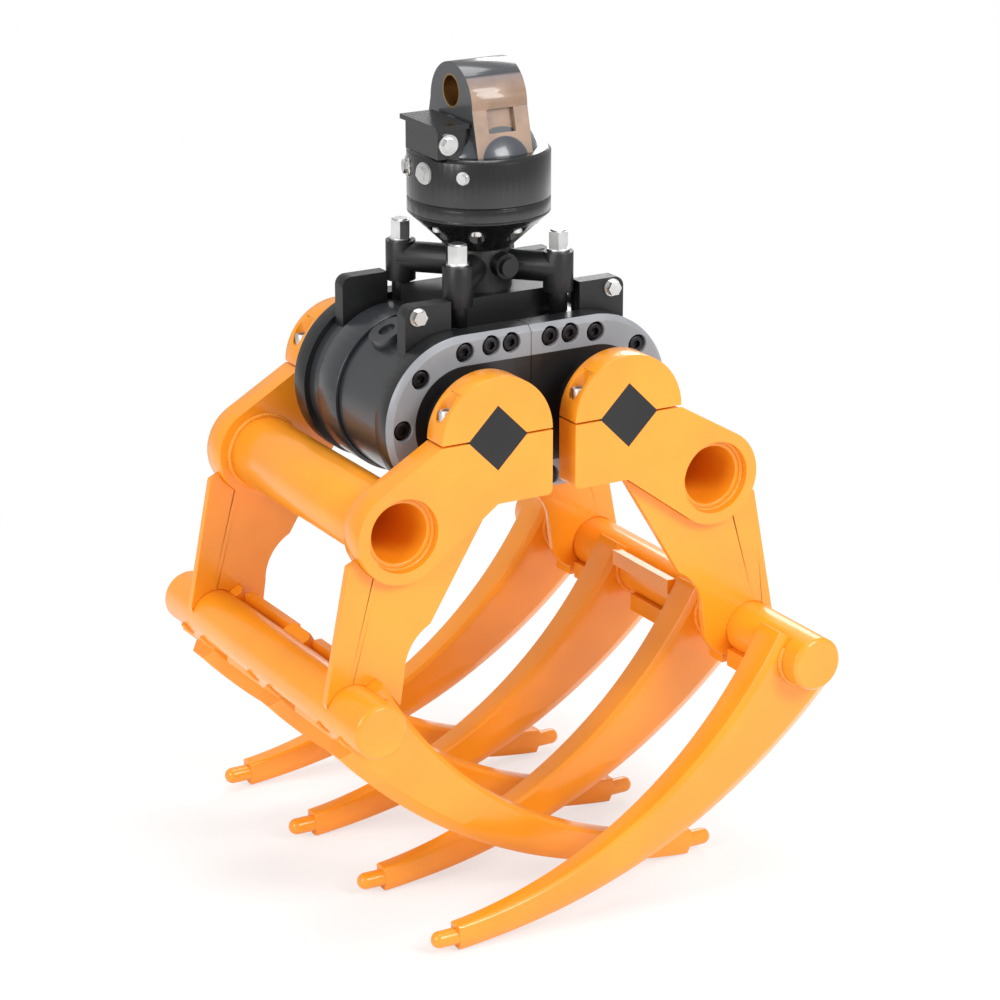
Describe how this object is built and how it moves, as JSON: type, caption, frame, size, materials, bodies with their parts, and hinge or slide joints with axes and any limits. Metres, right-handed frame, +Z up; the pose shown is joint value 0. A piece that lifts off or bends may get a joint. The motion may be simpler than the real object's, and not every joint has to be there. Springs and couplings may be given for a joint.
{
  "type": "log grapple",
  "caption": "Timber grapple with two interleaving sets of curved tines on clamp arms, swung by twin rotary actuators and hung from a hydraulic rotator.",
  "frame": {"origin": "centre of the crane-pin bore at the top of the link", "axes": "+X along the crane pin, towards the right-hand claw; +Z up, so the claws hang towards -Z; -Y is the front with the recessed side of the link"},
  "size_m": [0.7649, 0.81, 1.1968],
  "materials": {
    "black_paint": "gloss",
    "grey_paint": "semi-gloss",
    "yellow_paint": "semi-gloss",
    "plated_steel": "satin",
    "machined_steel": "machined",
    "dark_steel": "satin",
    "black_screws": "satin",
    "bushing_bronze": "machined"
  },
  "bodies": {
    "rotator": {"crane_link": "black_paint", "link_bushing": "bushing_bronze", "rotator_housing": "black_paint", "port_manifold": "black_paint", "port_plugs": "plated_steel"},
    "head": {"rotor_flange": "black_paint", "rotor_bolts": "black_screws", "head_casting": "black_paint", "hex_caps": "plated_steel", "port_adapters": "dark_steel", "gallery_plugs": "plated_steel", "front_bracket": "black_paint", "rear_bracket": "black_paint", "bracket_bolts": "plated_steel", "barrel_left": "grey_paint", "barrel_right": "grey_paint", "band_left": "grey_paint", "band_right": "grey_paint", "barrel_port_bosses": "grey_paint", "end_flange_front_left": "grey_paint", "end_flange_front_right": "grey_paint", "end_flange_rear_left": "grey_paint", "end_flange_rear_right": "grey_paint", "flange_bolts_front": "black_screws", "flange_bolts_rear": "black_screws", "end_collars": "dark_steel", "ring_gear_left": "machined_steel", "ring_gear_right": "machined_steel"},
    "left_claw": {"left_shaft": "machined_steel", "left_front_arm": "yellow_paint", "left_rear_arm": "yellow_paint", "left_front_cap": "yellow_paint", "left_rear_cap": "yellow_paint", "left_clamp_screws": "black_screws", "left_torque_tube": "yellow_paint", "left_front_leg": "yellow_paint", "left_rear_leg": "yellow_paint", "left_lower_tube": "yellow_paint", "left_bars": "yellow_paint", "left_tine_front": "yellow_paint", "left_tine_middle": "yellow_paint", "left_tine_rear": "yellow_paint"},
    "right_claw": {"right_shaft": "machined_steel", "right_front_arm": "yellow_paint", "right_rear_arm": "yellow_paint", "right_front_cap": "yellow_paint", "right_rear_cap": "yellow_paint", "right_clamp_screws": "black_screws", "right_torque_tube": "yellow_paint", "right_front_leg": "yellow_paint", "right_rear_leg": "yellow_paint", "right_lower_tube": "yellow_paint", "right_bars": "yellow_paint", "right_tine_front": "yellow_paint", "right_tine_middle_front": "yellow_paint", "right_tine_middle_rear": "yellow_paint", "right_tine_rear": "yellow_paint"},
    "left_sleeve": {"left_piston": "machined_steel"},
    "right_sleeve": {"right_piston": "machined_steel"}
  },
  "joints": [
    {"name": "head_turn", "type": "hinge", "parent": "rotator", "child": "head", "pos_m": [0, 0, -0.17], "axis": [0, 0, 1], "continuous": true},
    {"name": "left_swing", "type": "hinge", "parent": "head", "child": "left_claw", "pos_m": [-0.1074, 0, -0.44], "axis": [0, 1, 0], "range_deg": [0, 75]},
    {"name": "right_swing", "type": "hinge", "parent": "head", "child": "right_claw", "pos_m": [0.1074, 0, -0.44], "axis": [0, -1, 0], "range_deg": [0, 75]},
    {"name": "left_sleeve_slide", "type": "slide", "parent": "head", "child": "left_sleeve", "axis": [0, 1, 0], "range_m": [0, 0.0626]},
    {"name": "right_sleeve_slide", "type": "slide", "parent": "head", "child": "right_sleeve", "axis": [0, 1, 0], "range_m": [0, 0.0626]}
  ],
  "couplings": [
    {"joint": "right_swing", "follows": "left_swing", "ratio": 1},
    {"joint": "left_sleeve_slide", "follows": "left_swing", "m_per_rad": 0.04775},
    {"joint": "right_sleeve_slide", "follows": "left_swing", "m_per_rad": 0.04775}
  ]
}
